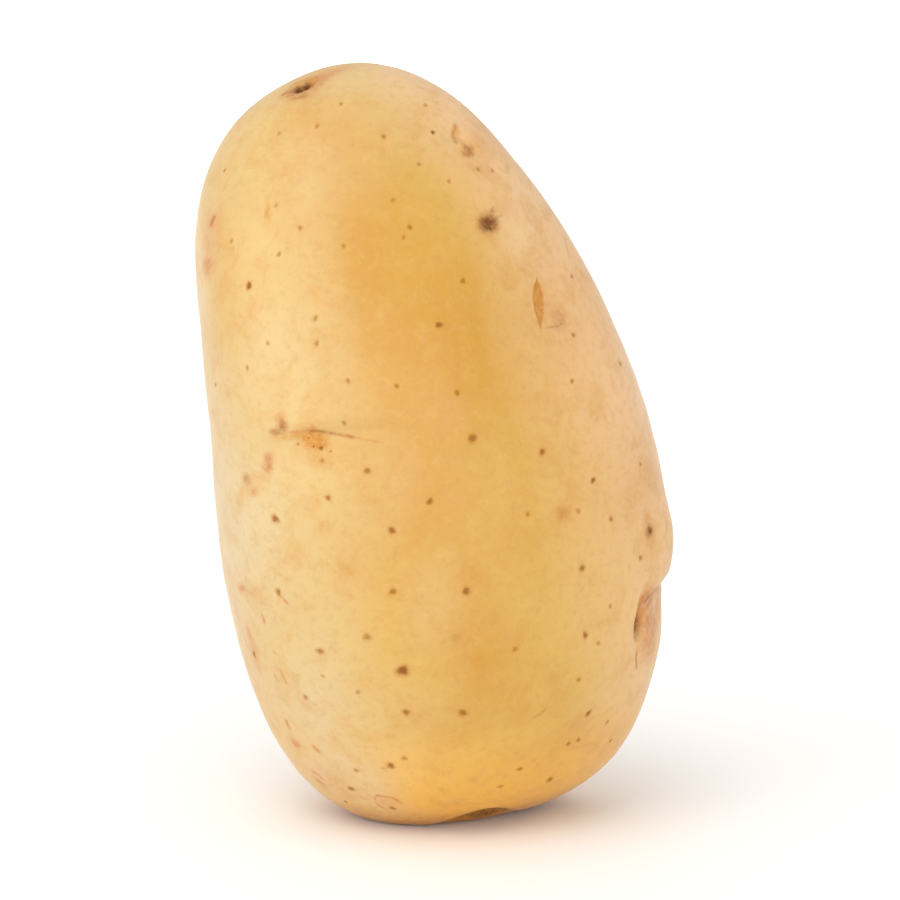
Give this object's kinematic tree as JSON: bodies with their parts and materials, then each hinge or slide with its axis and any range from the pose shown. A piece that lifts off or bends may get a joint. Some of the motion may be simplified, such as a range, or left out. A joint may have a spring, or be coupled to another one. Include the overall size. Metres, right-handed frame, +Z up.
{
  "type": "potato",
  "caption": "Whole raw potato, long oval with smooth yellow skin, shallow eyes and a stem scar, standing upright on its heavier end.",
  "frame": {"origin": "middle of the small flat spot that the potato stands on", "axes": "+Z up, towards the stem end; -Y towards the viewer of the picture; +X to the viewer's right"},
  "size_m": [0.0697, 0.0597, 0.1112],
  "materials": {
    "skin": "satin"
  },
  "bodies": {
    "root": {"potato": "skin"}
  },
  "joints": []
}
